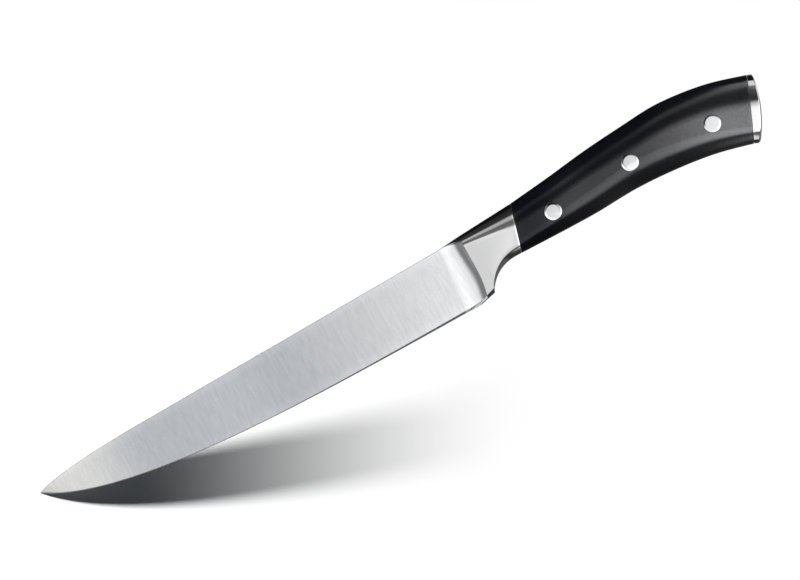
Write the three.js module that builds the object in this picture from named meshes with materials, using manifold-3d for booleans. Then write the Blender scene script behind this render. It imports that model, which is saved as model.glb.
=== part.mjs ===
// Kitchen knife: a forged blade with a full bolster and a full tang, two grip scales, three two-part
// rivets and a butt cap. Millimetres. +X runs from the tip to the butt and +Z from the cutting edge to
// the spine. The blade lies in the plane Y = 0, with its left-hand side at -Y.
import * as THREE from "three";
import { mergeVertices } from "three/addons/utils/BufferGeometryUtils.js";
import Module from "manifold-3d";

const wasm = await Module();
wasm.setup();

// Blade, measured from the heel and up from the lowest point of the edge
const BLADE_LENGTH = 198.6;
const TIP_HEIGHT = 19;
const HEEL_HEIGHT = 28.8; // of the spine
const SPINE_FALL = 4.2; // drop of the straight spine from the heel to where it bends
const POINT_LENGTH = 51; // bent stretch of the spine, back from the tip
const POINT_BEND = 33.5; // reach of the spine's curve where it leaves the straight
const NOSE_HEIGHT = 1.7; // reach of the spine's curve up from the tip
const NOSE_LENGTH = 3.1; // and back from it
const BELLY_LOW = 58; // lowest point of the edge, in front of the heel
const BELLY_REACH = 59.5; // reach of the edge's curve in front of that point
const BELLY_RISE = 23.5; // reach of the edge's curve back from the tip
const BELLY_AIM = 3.2; // height that this curve heads for as it leaves the tip
const EDGE_LIFT = 0.35; // height of the edge at the heel
const SPINE_THICKNESS = 2.3;
const TIP_THICKNESS = 1;
const EDGE_THICKNESS = 0.5; // behind the sharpened bevel, at the heel
const EDGE_LEAST = 0.15; // and towards the tip
const BEVEL_ANGLE = 15; // degrees, on each side
const SPINE_EASE = 0.15;

// Bolster and finger choil
const BOLSTER_FRONT = 3.2; // front of the bolster at the spine, behind the heel
const BOLSTER_TOE = 1.4; // front of the bolster at the edge, behind the heel
const FILLET_LENGTH = 10.5; // sweep from the blade's side up to the bolster
const FILLET_SWEEP = 68; // degrees that the sweep turns through
const BOLSTER_HEIGHT = 29.65; // of its top, at the front
const BOLSTER_THICKNESS = 10.4;
const TOE_THICKNESS = 7.6;
const TOE_FLAT = 2.4;
const BOLSTER_TOP_ROUND = 4.5;
const TOE_ROUND = 2.2;
const BOLSTER_BOW = 1.15; // how far the front edge bows back below its middle
const EDGE_STOP = 2; // the sharp edge ends this far in front of the heel
const HEEL_LENGTH = 5.3; // heel corner behind the heel
const HEEL_RISE = 2.1; // height of that corner
const CHOIL_RADIUS = 16;

// Grip outline, as distance behind the foot of the bolster seam and height. The first pair of points is
// the seam with the bolster, the last pair the seam with the cap.
const GRIP_SETBACK = 22.8; // foot of the bolster seam, behind the heel
const GRIP_TOP = [
  [5.5, 31.35], [23.6, 33.45], [41.9, 35.9], [59.6, 37.55], [78.2, 38.7], [98.7, 36.4], [116.4, 31.5],
];
const GRIP_UNDER = [
  [0, 11.2], [19.2, 10.95], [35.2, 11], [54.2, 11.9], [72.2, 11.1], [89.7, 8.9], [105.5, 5.1],
];
const GRIP_FRONT_THICKNESS = 15.6;
const GRIP_REAR_THICKNESS = 19.4;
const GRIP_SWELL = 1.1; // extra thickness half-way along
const TOP_ROUND_FRONT = 9.2;
const TOP_ROUND_REAR = 13.2;
const TOP_ROUND_SWELL = 0.2; // extra rounding half-way along
const UNDER_ROUND_FRONT = 4.6;
const UNDER_ROUND_REAR = 6.3;
const UNDER_ROUND_SWELL = 5;
const FULLNESS = 2.2; // of both roundings: 2 is an ellipse, more is squarer

// Tang
const TANG_THICKNESS = 2.6;
const TANG_SHY = 0.1; // the tang's edges lie this far inside the grip's outline
const TANG_ROOT = 5; // how deep the tang runs into the bolster
const TENON_LENGTH = 2.5;
const TENON_ROOT = 3; // how deep the tenon runs into the tang
const TENON_HEIGHT = 14;
const TENON_THICKNESS = 2;

// Butt cap
const CAP_WALL = 2.6; // its length at the top and the underside
const CAP_CROWN = 1.8; // how much longer it is half-way up
const CAP_EDGE = 0.9; // rounding of its end

// Rivets
const RIVET_PITCH = 37.4;
const RIVET_DROP = 2; // below the middle of the grip's height
const HEAD_DIAMETER = 7.3;
const HEAD_THICKNESS = 2.4;
const SLEEVE_DIAMETER = 4.8;
const PIN_DIAMETER = 3;
const SLEEVE_SHY = 0.5; // the sleeve stops this far short of the stud's head
const PIN_SHY = 0.6; // the pin stops this far short of the end of the bore
const BORE_FLOOR = 0.8; // the bore stops this far short of the sleeve's own head

// Clearances
const JOINT_GAP = 0.1; // glued and seated faces
const FIT_GAP = 0.1; // round the rivets and the tenon

// Fineness of the surfaces
const BLADE_STEPS = 26;
const TIP_CROWDING = 1.5; // above 1, sections crowd together towards the tip
const FILLET_STEPS = 8;
const CHOIL_STEPS = 5;
const GRIP_STEPS = 26;
const CAP_EDGE_STEPS = 3;
const CAP_CROWN_STEPS = 5;
const UNDER_STEPS = 5;
const SIDE_STEPS = 2;
const TOP_STEPS = 8;
const RIVET_SIDES = 28;
const WELD = 1e-4; // points closer than this are one

const { degToRad, lerp } = THREE.MathUtils;

// Solids and meshes

function solidOf(geometry) {
  const bare = new THREE.BufferGeometry();
  bare.setAttribute("position", geometry.getAttribute("position"));
  bare.setIndex(geometry.getIndex());
  const merged = mergeVertices(bare, WELD);
  const corners = merged.getIndex().array;
  const kept = [];
  for (let i = 0; i < corners.length; i += 3) {
    const [a, b, c] = corners.slice(i, i + 3);
    if (a !== b && b !== c && c !== a) kept.push(a, b, c);
  }
  const mesh = new wasm.Mesh({
    numProp: 3,
    vertProperties: new Float32Array(merged.getAttribute("position").array),
    triVerts: new Uint32Array(kept),
  });
  return new wasm.Manifold(mesh);
}

function meshOf(name, solid, material) {
  const { vertProperties, triVerts } = solid.getMesh();
  const geometry = new THREE.BufferGeometry();
  geometry.setAttribute("position", new THREE.BufferAttribute(vertProperties, 3));
  geometry.setIndex(new THREE.BufferAttribute(triVerts, 1));
  geometry.computeVertexNormals();
  const mesh = new THREE.Mesh(geometry, material);
  mesh.name = name;
  return mesh;
}

// A solid skinned over closed rings of equal length, with both ends closed flat
function loft(rings) {
  const size = rings[0].length;
  const positions = rings.flat().flatMap((point) => point.toArray());
  const index = [];
  for (let ring = 0; ring + 1 < rings.length; ring++) {
    for (let i = 0; i < size; i++) {
      const a = ring * size + i;
      const b = ring * size + ((i + 1) % size);
      index.push(a, b, a + size, b, b + size, a + size);
    }
  }
  closeEnd(rings[0], 0, false);
  closeEnd(rings.at(-1), (rings.length - 1) * size, true);
  const geometry = new THREE.BufferGeometry();
  geometry.setAttribute("position", new THREE.Float32BufferAttribute(positions, 3));
  geometry.setIndex(index);
  return solidOf(geometry);

  function closeEnd(ring, first, turned) {
    const centre = new THREE.Vector3();
    for (const point of ring) centre.addScaledVector(point, 1 / size);
    const hub = positions.length / 3;
    positions.push(...centre.toArray());
    for (let i = 0; i < size; i++) {
      const a = first + i;
      const b = first + ((i + 1) % size);
      index.push(...(turned ? [a, b, hub] : [a, hub, b]));
    }
  }
}

// A round bar along Y, between two distances from the plane of the blade
function barAlongY(x, z, radius, from, to) {
  const bar = new THREE.CylinderGeometry(radius, radius, Math.abs(to - from), RIVET_SIDES);
  bar.translate(x, (from + to) / 2, z);
  return solidOf(bar);
}

// Cross-sections

// One side of a section, from its underside centre round to its top centre, as [half width, height].
// Both roundings are superellipse quarters, with a straight side between them.
function sideOutline(height, shape) {
  const points = [];
  for (let i = 0; i <= UNDER_STEPS; i++) {
    const angle = (i / UNDER_STEPS) * (Math.PI / 2);
    const power = 2 / shape.underFullness;
    const out = Math.sin(angle) ** power;
    const up = 1 - Math.cos(angle) ** power;
    points.push([lerp(shape.underFlat, shape.underWidth, out), shape.underRound * up]);
  }
  for (let i = 1; i < SIDE_STEPS; i++) {
    const share = i / SIDE_STEPS;
    points.push([
      lerp(shape.underWidth, shape.topWidth, share),
      lerp(shape.underRound, height - shape.topRound, share),
    ]);
  }
  for (let i = 0; i <= TOP_STEPS; i++) {
    const angle = (i / TOP_STEPS) * (Math.PI / 2);
    const power = 2 / shape.topFullness;
    const out = Math.cos(angle) ** power;
    const up = Math.sin(angle) ** power;
    points.push([lerp(shape.topFlat, shape.topWidth, out), height - shape.topRound * (1 - up)]);
  }
  return points;
}

function place(under, top, bow, [halfWidth, height], side) {
  const share = height / Math.max(under.distanceTo(top), WELD);
  const bowed = 6.75 * bow * share * (1 - share) ** 2; // as far as bow, a third of the way up
  const { x, y } = under.clone().lerp(top, share);
  return new THREE.Vector3(x + bowed, side * halfWidth, y);
}

// Side-view points are Vector2 with x along the knife and y as height
function fullRing(under, top, shape) {
  const outline = sideOutline(under.distanceTo(top), shape);
  const right = outline.map((point) => place(under, top, shape.bow, point, 1));
  const left = outline.map((point) => place(under, top, shape.bow, point, -1));
  return [...right, ...left.reverse()];
}

function halfRing(under, top, shape, side) {
  const outline = sideOutline(under.distanceTo(top), shape);
  const ring = outline.map((point) => place(under, top, shape.bow, point, side));
  return side > 0 ? ring : ring.reverse();
}

function mixShapes(a, b, share) {
  return Object.fromEntries(Object.keys(a).map((key) => [key, lerp(a[key], b[key], share)]));
}

// Grip outline and sections, by station from the bolster seam (0) to the cap seam (1)

const gripCurve = (points) =>
  new THREE.SplineCurve(points.map(([along, up]) => new THREE.Vector2(GRIP_SETBACK + along, up)));
const gripTop = gripCurve(GRIP_TOP);
const gripUnder = gripCurve(GRIP_UNDER);

// A size that changes evenly along the grip, with something extra half-way
function swelling(front, rear, swell, station) {
  return lerp(front, rear, station) + swell * Math.sin(Math.PI * station);
}

function gripHalfThickness(station) {
  return swelling(GRIP_FRONT_THICKNESS, GRIP_REAR_THICKNESS, GRIP_SWELL, station) / 2;
}

function gripShape(station, flat = TANG_THICKNESS / 2) {
  const halfThickness = gripHalfThickness(station);
  return {
    underRound: swelling(UNDER_ROUND_FRONT, UNDER_ROUND_REAR, UNDER_ROUND_SWELL, station),
    underWidth: halfThickness,
    underFlat: flat,
    underFullness: FULLNESS,
    topRound: swelling(TOP_ROUND_FRONT, TOP_ROUND_REAR, TOP_ROUND_SWELL, station),
    topWidth: halfThickness,
    topFlat: flat,
    topFullness: FULLNESS,
    bow: 0,
  };
}

const gripStations = Array.from({ length: GRIP_STEPS + 1 }, (_, i) => i / GRIP_STEPS);
const seamTop = gripTop.getPoint(0);
const seamUnder = gripUnder.getPoint(0);
const capTop = gripTop.getPoint(1);
const capUnder = gripUnder.getPoint(1);
const capMiddle = capTop.clone().add(capUnder).multiplyScalar(0.5);
const capUp = capTop.clone().sub(capUnder).normalize();
const capTilt = Math.atan2(capUp.x, capUp.y);

// Rivet places: the middle one half-way along the grip, the others one pitch away

function gripMiddle(station) {
  return gripTop.getPoint(station).add(gripUnder.getPoint(station)).multiplyScalar(0.5);
}

function stationAt(x) {
  let [low, high] = [0, 1];
  while (high - low > WELD) {
    const middle = (low + high) / 2;
    if (gripMiddle(middle).x < x) low = middle;
    else high = middle;
  }
  return low;
}

const rivetCentre = (gripMiddle(0).x + gripMiddle(1).x) / 2;
const rivets = ["front", "middle", "rear"].map((name, i) => {
  const x = rivetCentre + (i - 1) * RIVET_PITCH;
  const station = stationAt(x);
  const reach = gripHalfThickness(station);
  return {
    name,
    x,
    z: gripMiddle(station).y - RIVET_DROP,
    seat: reach - HEAD_THICKNESS,
    beyond: reach + HEAD_THICKNESS,
  };
});

// Blade

const tip = new THREE.Vector2(-BLADE_LENGTH, TIP_HEIGHT);
const spineSlope = SPINE_FALL / (BLADE_LENGTH - POINT_LENGTH);
const filletUnder = new THREE.Vector2(BOLSTER_TOE - FILLET_LENGTH, EDGE_LIFT);
const bolsterTop = new THREE.Vector2(BOLSTER_FRONT, BOLSTER_HEIGHT);
const filletTop = new THREE.Vector2(BOLSTER_FRONT - FILLET_LENGTH, 0);
filletTop.y = HEEL_HEIGHT + spineSlope * filletTop.x;
const spineBend = new THREE.Vector2(tip.x + POINT_LENGTH, HEEL_HEIGHT - SPINE_FALL);

const lowPoint = new THREE.Vector2(-BELLY_LOW, 0);
const edgeCurve = new THREE.CurvePath();
edgeCurve.add(new THREE.CubicBezierCurve(
  tip,
  new THREE.Vector2(tip.x + BELLY_RISE, BELLY_AIM),
  new THREE.Vector2(lowPoint.x - BELLY_REACH, 0),
  lowPoint,
));
edgeCurve.add(new THREE.QuadraticBezierCurve(
  lowPoint,
  new THREE.Vector2((lowPoint.x + filletUnder.x) / 2, 0),
  filletUnder,
));
const spineCurve = new THREE.CurvePath();
spineCurve.add(new THREE.CubicBezierCurve(
  tip,
  new THREE.Vector2(tip.x + NOSE_LENGTH, tip.y + NOSE_HEIGHT),
  new THREE.Vector2(spineBend.x - POINT_BEND, spineBend.y - spineSlope * POINT_BEND),
  spineBend,
));
spineCurve.add(new THREE.LineCurve(spineBend, filletTop));

// The blade's sides are flat: their thickness changes evenly from edge to spine and from heel to tip. The
// edge keeps a least thickness where it climbs to the tip.
const thicknessPerHeight = (SPINE_THICKNESS - EDGE_THICKNESS) / HEEL_HEIGHT;
const thicknessPerLength = (EDGE_THICKNESS + thicknessPerHeight * TIP_HEIGHT - TIP_THICKNESS) / BLADE_LENGTH;

function bladeThickness(x, height) {
  return EDGE_THICKNESS + thicknessPerHeight * height + thicknessPerLength * x;
}

function bladeShape(under, top) {
  const height = Math.max(under.distanceTo(top), WELD);
  const edgeHalf = Math.max(bladeThickness(under.x, 0), EDGE_LEAST) / 2;
  const spineHalf = bladeThickness(top.x, top.y) / 2;
  const bevelSlope = Math.tan(degToRad(BEVEL_ANGLE));
  const sideSlope = Math.min((spineHalf - edgeHalf) / height, bevelSlope / 2);
  const bevel = Math.min(edgeHalf / (bevelSlope - sideSlope), height / 2);
  const underWidth = bevel * bevelSlope;
  const topWidth = Math.min(spineHalf, underWidth + (height - bevel) * sideSlope);
  const ease = Math.min(SPINE_EASE, topWidth / 2, height / 4);
  return {
    underRound: bevel,
    underWidth,
    underFlat: 0,
    underFullness: 1,
    topRound: ease,
    topWidth: topWidth - sideSlope * ease,
    topFlat: topWidth - ease,
    topFullness: 2,
    bow: 0,
  };
}

// Stations crowd together towards the tip, where the outline bends most
const bladeRings = Array.from({ length: BLADE_STEPS }, (_, i) => {
  const share = (i / BLADE_STEPS) ** TIP_CROWDING;
  const under = edgeCurve.getPointAt(share);
  const top = spineCurve.getPointAt(share);
  return fullRing(under, top, bladeShape(under, top));
});

// Bolster

const heelCorner = new THREE.Vector2(HEEL_LENGTH, HEEL_RISE);
const heelSlope = (HEEL_RISE - EDGE_LIFT) / (HEEL_LENGTH + EDGE_STOP);
const toe = new THREE.Vector2(BOLSTER_TOE, EDGE_LIFT + heelSlope * (BOLSTER_TOE + EDGE_STOP));
const bolsterShape = {
  underRound: TOE_ROUND,
  underWidth: TOE_THICKNESS / 2,
  underFlat: TOE_FLAT / 2,
  underFullness: FULLNESS,
  topRound: BOLSTER_TOP_ROUND,
  topWidth: BOLSTER_THICKNESS / 2,
  topFlat: TANG_THICKNESS / 2,
  topFullness: FULLNESS,
  bow: BOLSTER_BOW,
};

// The blade's side sweeps up to the bolster on an arc
const filletRings = Array.from({ length: FILLET_STEPS }, (_, i) => {
  const sweep = degToRad(FILLET_SWEEP);
  const angle = (i / FILLET_STEPS) * sweep;
  const along = Math.sin(angle) / Math.sin(sweep);
  const rise = (1 - Math.cos(angle)) / (1 - Math.cos(sweep));
  const under = filletUnder.clone().lerp(toe, along);
  under.y = EDGE_LIFT + Math.max(0, heelSlope * (under.x + EDGE_STOP));
  const top = filletTop.clone().lerp(bolsterTop, along);
  return fullRing(under, top, mixShapes(bladeShape(under, top), bolsterShape, rise));
});

// Underside of the bolster: a short heel, then the finger choil, an arc that runs level into the grip
const choilSink = seamUnder.y - heelCorner.y;
const choilRoom = seamUnder.x - heelCorner.x;
const choilRadius = Math.min(CHOIL_RADIUS, (choilRoom ** 2 + choilSink ** 2) / (2 * choilSink));
const choilTurn = Math.acos(1 - choilSink / choilRadius);
const choilEnd = heelCorner.x + choilRadius * Math.sin(choilTurn);
const bolsterUnder = new THREE.Path();
bolsterUnder.moveTo(toe.x, toe.y);
bolsterUnder.lineTo(heelCorner.x, heelCorner.y);
bolsterUnder.absarc(
  choilEnd, seamUnder.y - choilRadius, choilRadius, Math.PI / 2 + choilTurn, Math.PI / 2, true,
);
bolsterUnder.lineTo(seamUnder.x, seamUnder.y);
const underLength = bolsterUnder.getLength();
let walked = 0;
const bolsterRings = bolsterUnder.getPoints(CHOIL_STEPS).map((under, i, all) => {
  walked += i > 0 ? under.distanceTo(all[i - 1]) : 0;
  const share = Math.min(walked / underLength, 1);
  const top = bolsterTop.clone().lerp(seamTop, share);
  return fullRing(under, top, mixShapes(bolsterShape, gripShape(0), share));
});

// Tang: a plate inside the grip's outline, rooted in the bolster, with a tenon for the cap

function tangPlate() {
  const inner = gripStations.slice(1, -1);
  const rootUnder = seamUnder.clone().lerp(seamTop, TANG_ROOT / seamUnder.distanceTo(seamTop));
  const rootTop = seamTop.clone().lerp(seamUnder, TANG_ROOT / seamUnder.distanceTo(seamTop));
  const endUnder = capUnder.clone().lerp(capTop, TANG_SHY / capUnder.distanceTo(capTop));
  const endTop = capTop.clone().lerp(capUnder, TANG_SHY / capUnder.distanceTo(capTop));
  const shape = new THREE.Shape([
    new THREE.Vector2(rootUnder.x - TANG_ROOT, rootUnder.y),
    new THREE.Vector2(seamUnder.x - TANG_SHY, seamUnder.y + TANG_SHY),
    ...inner.map((station) => gripUnder.getPoint(station).add(new THREE.Vector2(0, TANG_SHY))),
    new THREE.Vector2(endUnder.x - JOINT_GAP, endUnder.y),
    new THREE.Vector2(endTop.x - JOINT_GAP, endTop.y),
    ...inner.reverse().map((station) => gripTop.getPoint(station).sub(new THREE.Vector2(0, TANG_SHY))),
    new THREE.Vector2(seamTop.x - TANG_SHY, seamTop.y - TANG_SHY),
    new THREE.Vector2(rootTop.x - TANG_ROOT, rootTop.y),
  ]);
  const plate = new THREE.ExtrudeGeometry(shape, { depth: TANG_THICKNESS, bevelEnabled: false });
  plate.rotateX(Math.PI / 2);
  plate.translate(0, TANG_THICKNESS / 2, 0);
  return solidOf(plate);
}

// A block square to the cap seam, from inside the tang to some depth behind the seam
function tenonBlock(gap) {
  const length = TENON_ROOT + TENON_LENGTH + gap;
  const block = new THREE.BoxGeometry(length, TENON_THICKNESS + 2 * gap, TENON_HEIGHT + 2 * gap);
  block.translate(length / 2 - TENON_ROOT, 0, 0);
  block.rotateY(capTilt);
  block.translate(capMiddle.x, 0, capMiddle.y);
  return solidOf(block);
}

function forgedBlade() {
  let solid = loft([...bladeRings, ...filletRings, ...bolsterRings]);
  solid = solid.add(tangPlate()).add(tenonBlock(0));
  for (const { x, z } of rivets) {
    const radius = SLEEVE_DIAMETER / 2 + FIT_GAP;
    solid = solid.subtract(barAlongY(x, z, radius, -TANG_THICKNESS, TANG_THICKNESS));
  }
  return solid;
}

// Grip scales, stepped bores for the rivets

function gripScale(side) {
  const bed = TANG_THICKNESS / 2 + JOINT_GAP;
  const rings = gripStations.map((station) => {
    const shape = gripShape(station, bed);
    const ring = halfRing(gripUnder.getPoint(station), gripTop.getPoint(station), shape, side);
    const inset = station === 0 ? JOINT_GAP : station === 1 ? -JOINT_GAP : 0;
    return ring.map((point) => point.setX(point.x + inset));
  });
  let solid = loft(rings);
  for (const { x, z, seat, beyond } of rivets) {
    const shank = barAlongY(x, z, SLEEVE_DIAMETER / 2 + FIT_GAP, 0, side * beyond);
    const head = barAlongY(x, z, HEAD_DIAMETER / 2 + FIT_GAP, side * seat, side * beyond);
    solid = solid.subtract(shank).subtract(head);
  }
  return solid;
}

// Butt cap: the grip's last section carried on to a crowned end with a rounded edge

function buttCap() {
  const back = new THREE.Vector3(capUp.y, 0, -capUp.x);
  const up = new THREE.Vector3(capUp.x, 0, capUp.y);
  const middle = new THREE.Vector3(capMiddle.x, 0, capMiddle.y);
  const halfHeight = capTop.distanceTo(capUnder) / 2;
  const seam = fullRing(capUnder, capTop, gripShape(1));

  // The end reaches furthest back half-way up
  function atEnd(point, sunk) {
    const rise = point.clone().sub(middle).dot(up) / halfHeight;
    return point.clone().addScaledVector(back, CAP_WALL + CAP_CROWN * (1 - rise ** 2) - sunk);
  }

  function inset(point, distance) {
    return point.clone().add(middle.clone().sub(point).setLength(distance));
  }

  const edge = Array.from({ length: CAP_EDGE_STEPS + 1 }, (_, i) => {
    const angle = (i / CAP_EDGE_STEPS) * (Math.PI / 2);
    const distance = CAP_EDGE * (1 - Math.cos(angle));
    return seam.map((point) => atEnd(inset(point, distance), CAP_EDGE * (1 - Math.sin(angle))));
  });
  const crown = Array.from({ length: CAP_CROWN_STEPS }, (_, i) => {
    const share = (i + 1) / CAP_CROWN_STEPS;
    return seam.map((point) => atEnd(inset(point, CAP_EDGE).lerp(middle, share), 0));
  });
  return loft([seam, ...edge, ...crown]).subtract(tenonBlock(FIT_GAP));
}

// Rivets: a stud with its head on the left, pressed into a sleeve with its head on the right, both
// ground flush with the scales

const gripBody = loft(gripStations.map((station) => {
  return fullRing(gripUnder.getPoint(station), gripTop.getPoint(station), gripShape(station));
}));

function turned(profile, { x, z }) {
  const points = profile.map(([radius, y]) => new THREE.Vector2(radius, y));
  const geometry = new THREE.LatheGeometry(points, RIVET_SIDES);
  geometry.translate(x, 0, z);
  return solidOf(geometry).intersect(gripBody);
}

function rivetStud(rivet) {
  const under = rivet.seat + FIT_GAP;
  return turned([
    [0, -rivet.beyond],
    [HEAD_DIAMETER / 2, -rivet.beyond],
    [HEAD_DIAMETER / 2, -under],
    [PIN_DIAMETER / 2, -under],
    [PIN_DIAMETER / 2, rivet.seat - BORE_FLOOR - PIN_SHY],
    [0, rivet.seat - BORE_FLOOR - PIN_SHY],
  ], rivet);
}

function rivetSleeve(rivet) {
  const under = rivet.seat + FIT_GAP;
  const bore = PIN_DIAMETER / 2 + FIT_GAP;
  return turned([
    [0, rivet.seat - BORE_FLOOR],
    [bore, rivet.seat - BORE_FLOOR],
    [bore, SLEEVE_SHY - rivet.seat],
    [SLEEVE_DIAMETER / 2, SLEEVE_SHY - rivet.seat],
    [SLEEVE_DIAMETER / 2, under],
    [HEAD_DIAMETER / 2, under],
    [HEAD_DIAMETER / 2, rivet.beyond],
    [0, rivet.beyond],
  ], rivet);
}

// Finishes

const finish = (color, roughness, metalness) =>
  new THREE.MeshStandardMaterial({ color, roughness, metalness });
const satinSteel = () => finish(0xc9ccd0, 0.32, 1);
const polishedSteel = () => finish(0xd6d8da, 0.14, 1);
const blackPlastic = () => finish(0x17181a, 0.42, 0);

// The knife, with its origin half-way along its length, in the plane of the blade, level with the edge

const pieces = new THREE.Group();
pieces.add(
  meshOf("forged_blade", forgedBlade(), satinSteel()),
  meshOf("left_scale", gripScale(-1), blackPlastic()),
  meshOf("right_scale", gripScale(1), blackPlastic()),
  meshOf("butt_cap", buttCap(), polishedSteel()),
);
for (const rivet of rivets) {
  pieces.add(meshOf(`rivet_${rivet.name}_stud`, rivetStud(rivet), polishedSteel()));
  pieces.add(meshOf(`rivet_${rivet.name}_sleeve`, rivetSleeve(rivet), polishedSteel()));
}
const extent = new THREE.Box3().setFromObject(pieces);
pieces.position.set(-(extent.min.x + extent.max.x) / 2, 0, -extent.min.z);

const knife = new THREE.Group();
knife.name = "kitchen_knife";
knife.add(pieces);
export default knife;
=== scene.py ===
"""A forged kitchen knife in a plain studio: a ground blade with its bolster and full tang, two black grip
scales, three two-part rivets and a polished butt cap."""

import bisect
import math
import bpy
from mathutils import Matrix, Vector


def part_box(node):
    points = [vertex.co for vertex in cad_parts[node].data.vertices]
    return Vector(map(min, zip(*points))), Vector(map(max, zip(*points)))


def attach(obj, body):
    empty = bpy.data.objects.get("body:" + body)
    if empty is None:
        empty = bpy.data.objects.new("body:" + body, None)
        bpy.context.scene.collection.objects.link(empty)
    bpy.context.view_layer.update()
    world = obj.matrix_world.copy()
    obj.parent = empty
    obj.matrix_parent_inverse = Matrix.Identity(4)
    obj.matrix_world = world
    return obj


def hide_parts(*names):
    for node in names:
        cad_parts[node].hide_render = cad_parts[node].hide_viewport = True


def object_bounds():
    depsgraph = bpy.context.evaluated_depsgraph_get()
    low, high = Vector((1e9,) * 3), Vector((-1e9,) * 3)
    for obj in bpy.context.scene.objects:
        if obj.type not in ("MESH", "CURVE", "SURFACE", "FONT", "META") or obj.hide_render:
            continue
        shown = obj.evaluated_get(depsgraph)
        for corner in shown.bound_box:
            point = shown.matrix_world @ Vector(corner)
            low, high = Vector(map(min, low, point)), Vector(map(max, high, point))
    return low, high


bl_info = {
    "name": "Forged Kitchen Knife",
    "version": (1, 0, 0),
    "blender": (4, 5, 0),
    "location": "View3D > Sidebar > Knife",
    "description": "Builds a forged kitchen knife piece by piece, with its finishes and a plain studio",
    "category": "Add Mesh",
}

from typing import NamedTuple

import bmesh
import bpy
from bpy.props import FloatProperty, FloatVectorProperty, PointerProperty
from mathutils import Matrix, Vector
from mathutils.geometry import interpolate_bezier

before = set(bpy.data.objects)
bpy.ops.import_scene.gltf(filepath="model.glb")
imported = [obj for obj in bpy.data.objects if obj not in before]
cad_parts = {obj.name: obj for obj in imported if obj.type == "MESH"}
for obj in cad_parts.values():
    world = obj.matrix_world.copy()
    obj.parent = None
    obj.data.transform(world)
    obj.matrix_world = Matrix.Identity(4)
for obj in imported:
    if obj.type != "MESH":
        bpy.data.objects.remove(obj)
CAD_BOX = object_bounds()

MM = 0.001
LEFT, RIGHT = -1, 1

# Fineness of the surfaces
CURVE_STEPS = 240
BLADE_STEPS = 96
TIP_CROWDING = 1.5  # above 1, sections crowd together towards the tip
FILLET_STEPS = 20
CHOIL_STEPS = 20
GRIP_STEPS = 96
EDGE_STEPS = 8
DOME_STEPS = 10
BREAK_STEPS = 3
UNDER_STEPS = 10
SIDE_STEPS = 10
TOP_STEPS = 18
TANG_STEPS = 6
RIVET_SIDES = 64
HEAD_RINGS = (0, 0.25, 0.5, 0.75)  # on a rivet head, as shares of its radius
RIM_TURNS = [math.radians(degrees) for degrees in (0, 30, 60, 90)]
STATION_STEP = 1e-5  # how closely a place on the grip is found
WELD = 0.0001 * MM
SLIVER = 0.001 * MM  # shorter edges left by a bore are taken out
SHARP_ANGLE = math.radians(28)

# Proportions
BOW_PEAK = 27 / 4  # scales a(1 - a)^2 so that its peak, a third of the way up, is 1
PLATE_CORNER = 1 / 8  # rounding of a plate's corners, as a share of half its thickness

# Finishes of the forged blade, in the order of its materials
GROUND, SATIN, BUFFED = range(3)

# Row of the butt cap that meets the grip
CAP_SEAM = 2

# Grip outline, as distance behind the foot of the bolster seam and height, in millimetres.
# The first pair of points is the seam with the bolster, the last pair the seam with the cap.
GRIP_TOP = (
    (5.5, 31.35), (23.6, 33.45), (41.9, 35.9), (59.6, 37.55), (78.2, 38.7), (98.7, 36.4), (116.4, 31.5),
)
GRIP_UNDER = (
    (0, 11.2), (19.2, 10.95), (35.2, 11), (54.2, 11.9), (72.2, 11.1), (89.7, 8.9), (105.5, 5.1),
)

# The photograph, in pixels and metres
PHOTO_WIDTH = 800
PHOTO_SCALE = 0.41186 * MM  # one pixel, in the plane of the blade
PHOTO_ROLL = math.radians(28.5)  # the edge rises to the right by this much
PHOTO_CENTRE = Vector((-0.02, 0, 21.75)) * MM

# Studio. Directions are given as right, up and towards the viewer in the photograph.
CAMERA_LENS = 900  # long, for a view with hardly any perspective
FLOOR_SIZE = 3
FLOOR_DROP = 0.2 * MM  # below the tip
FLOOR_LEAN = (0.378, 0.2, 0.904)
FLOOR_PAINT = (0.92, 0.92, 0.92, 1)
FLOOR_FADE = (-0.124, 0.048)  # across the photograph, from paint to plain white
LAMP_LEAN = (0, 0.635, 0.772)
LAMP_STRENGTH = 1.35 * math.pi
LAMP_SPREAD = math.radians(8)
SKY_FILL = (0.033, 0.038, 0.043, 1)  # what the world adds to matt surfaces
BLACK, WHITE = (0, 0, 0, 1), (1, 1, 1, 1)

# Light tent. Places along X are shares of its radius, tilts are degrees above the line of sight.
# A level is its start, and then each change: from where, to where and by how much.
TENT_RADIUS = 0.6
PANEL_LEVEL = 1.12, (0.05, 0.09, -0.33), (0.12, 0.165, 0.27), (0.21, 0.28, 0.47)
PANEL_SHADE = 0.6, (0.17, 0.21, 0.4), (0.3, 0.42, -0.65)
STRIP_TILT = 35, (0.05, 0.16, 7), (0.2, 0.3, 4), (0.3, 0.45, 9), (0.47, 0.52, 5)
STRIP_LEVEL = (
    0.95, (-0.04, 0.02, -0.93), (0.11, 0.18, 0.25), (0.2, 0.27, -0.08), (0.33, 0.42, 0.06),
    (0.48, 0.53, 0.47),
)
GAP_LEVEL = 0.25, (-0.04, 0.02, -0.25), (0.14, 0.2, 0.025), (0.4, 0.46, 0.03), (0.48, 0.53, 0.11)
BELOW_LEVEL = 0.16, (-0.02, 0.04, -0.11), (0.17, 0.27, 0.13)
LEAST_LIGHT = 0.01


# Sizes and finishes that can be changed

def length(description, millimetres):
    return FloatProperty(
        description=description, default=millimetres * MM, min=0, unit="LENGTH", precision=5,
    )


def along_grip(description, *millimetres):
    return FloatVectorProperty(
        description=f"{description} at the bolster and at the cap, and what it gains half-way",
        default=tuple(size * MM for size in millimetres), size=3, min=0, unit="LENGTH", precision=5,
    )


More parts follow.
